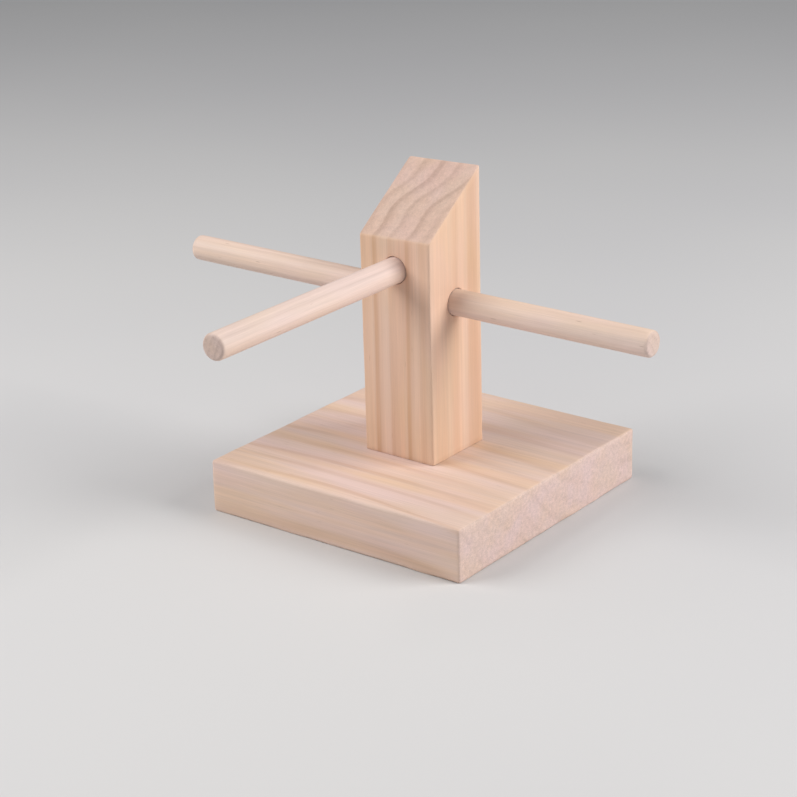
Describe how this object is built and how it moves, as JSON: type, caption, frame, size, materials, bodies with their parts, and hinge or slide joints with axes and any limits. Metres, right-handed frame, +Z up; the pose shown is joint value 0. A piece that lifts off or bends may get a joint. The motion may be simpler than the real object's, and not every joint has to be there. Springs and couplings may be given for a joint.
{
  "type": "eyeglass display rack",
  "caption": "Wooden counter-top stand for glasses: square base, slant-topped post, a nose peg at the front and a cross bar for the temples.",
  "frame": {"origin": "centre of the base's underside, where the rack rests on a counter", "axes": "+Z up from the counter; the nose peg points along -Y, the front; the temple bar runs along X, with the wearer's left temple towards +X"},
  "size_m": [0.1835, 0.1503, 0.1114],
  "materials": {
    "base_pine": "matte",
    "post_pine": "matte",
    "birch_dowel": "matte",
    "zinc_steel": "satin"
  },
  "bodies": {
    "stand": {"base_block": "base_pine", "post": "post_pine", "post_screw_front": "zinc_steel", "post_screw_rear": "zinc_steel"},
    "nose_peg_body": {"nose_peg": "birch_dowel"},
    "temple_bar_body": {"temple_bar": "birch_dowel"}
  },
  "joints": [
    {"name": "nose_peg_slide", "type": "slide", "parent": "stand", "child": "nose_peg_body", "axis": [0, -1, 0], "range_m": [0, 0.0175]},
    {"name": "temple_bar_slide", "type": "slide", "parent": "stand", "child": "temple_bar_body", "axis": [1, 0, 0], "range_m": [-0.0734, 0.0824]}
  ]
}
